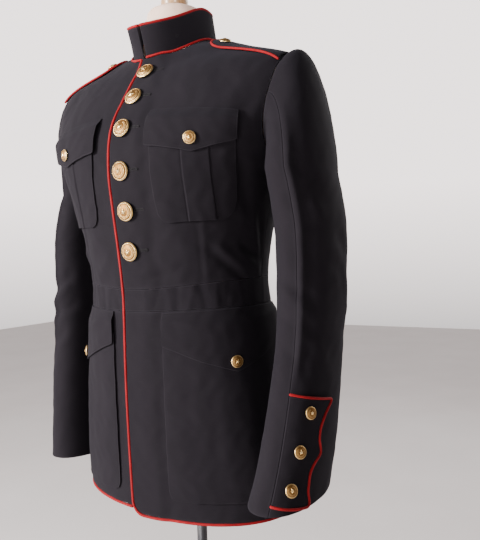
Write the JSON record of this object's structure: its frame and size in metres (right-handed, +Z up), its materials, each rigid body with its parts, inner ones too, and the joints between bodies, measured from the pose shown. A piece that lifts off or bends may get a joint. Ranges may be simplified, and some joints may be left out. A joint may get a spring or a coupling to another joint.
{
  "type": "military jacket on a dress form",
  "caption": "Dark high-collar uniform coat with red piping and gilt buttons, worn open at neck, hem and cuffs on a limbless dress form with a pole and round base.",
  "frame": {"origin": "on the floor under the middle of the whole object's box", "axes": "+Z up; the jacket's front faces -Y; the wearer's left is +X"},
  "size_m": [0.5103, 0.37, 1.3323],
  "materials": {
    "navy_wool": "matt wool cloth",
    "red_piping": "matt cord",
    "gilt_metal": "gilt",
    "cream_jersey": "matt jersey",
    "turned_wood": "varnished",
    "dark_steel": "satin"
  },
  "bodies": {
    "root": {"back_left": "navy_wool", "back_right": "navy_wool", "front_left": "navy_wool", "front_right": "navy_wool", "waistband_left": "navy_wool", "waistband_right": "navy_wool", "skirt_front_left": "navy_wool", "skirt_front_right": "navy_wool", "skirt_back_left": "navy_wool", "skirt_back_right": "navy_wool", "sleeve_left_outer": "navy_wool", "sleeve_left_inner": "navy_wool", "sleeve_right_outer": "navy_wool", "sleeve_right_inner": "navy_wool", "collar": "navy_wool", "chest_pocket_left": "navy_wool", "chest_pocket_right": "navy_wool", "chest_flap_left": "navy_wool", "chest_flap_right": "navy_wool", "hip_pocket_left": "navy_wool", "hip_pocket_right": "navy_wool", "hip_flap_left": "navy_wool", "hip_flap_right": "navy_wool", "cuff_flap_left": "navy_wool", "cuff_flap_right": "navy_wool", "shoulder_strap_left": "navy_wool", "shoulder_strap_right": "navy_wool", "piping_front": "red_piping", "piping_hem_right": "red_piping", "piping_collar_top": "red_piping", "piping_collar_base": "red_piping", "piping_strap_left": "red_piping", "piping_strap_right": "red_piping", "piping_cuff_left": "red_piping", "piping_cuff_right": "red_piping", "button_front_1": "gilt_metal", "button_front_2": "gilt_metal", "button_front_3": "gilt_metal", "button_front_4": "gilt_metal", "button_front_5": "gilt_metal", "button_front_6": "gilt_metal", "button_chest_left": "gilt_metal", "button_chest_right": "gilt_metal", "button_hip_left": "gilt_metal", "button_hip_right": "gilt_metal", "button_strap_left": "gilt_metal", "button_strap_right": "gilt_metal", "button_cuff_left_1": "gilt_metal", "button_cuff_left_2": "gilt_metal", "button_cuff_left_3": "gilt_metal", "button_cuff_right_1": "gilt_metal", "button_cuff_right_2": "gilt_metal", "button_cuff_right_3": "gilt_metal", "form_body": "cream_jersey", "form_finial": "turned_wood", "stand_pole": "dark_steel", "stand_base": "dark_steel"}
  },
  "joints": []
}
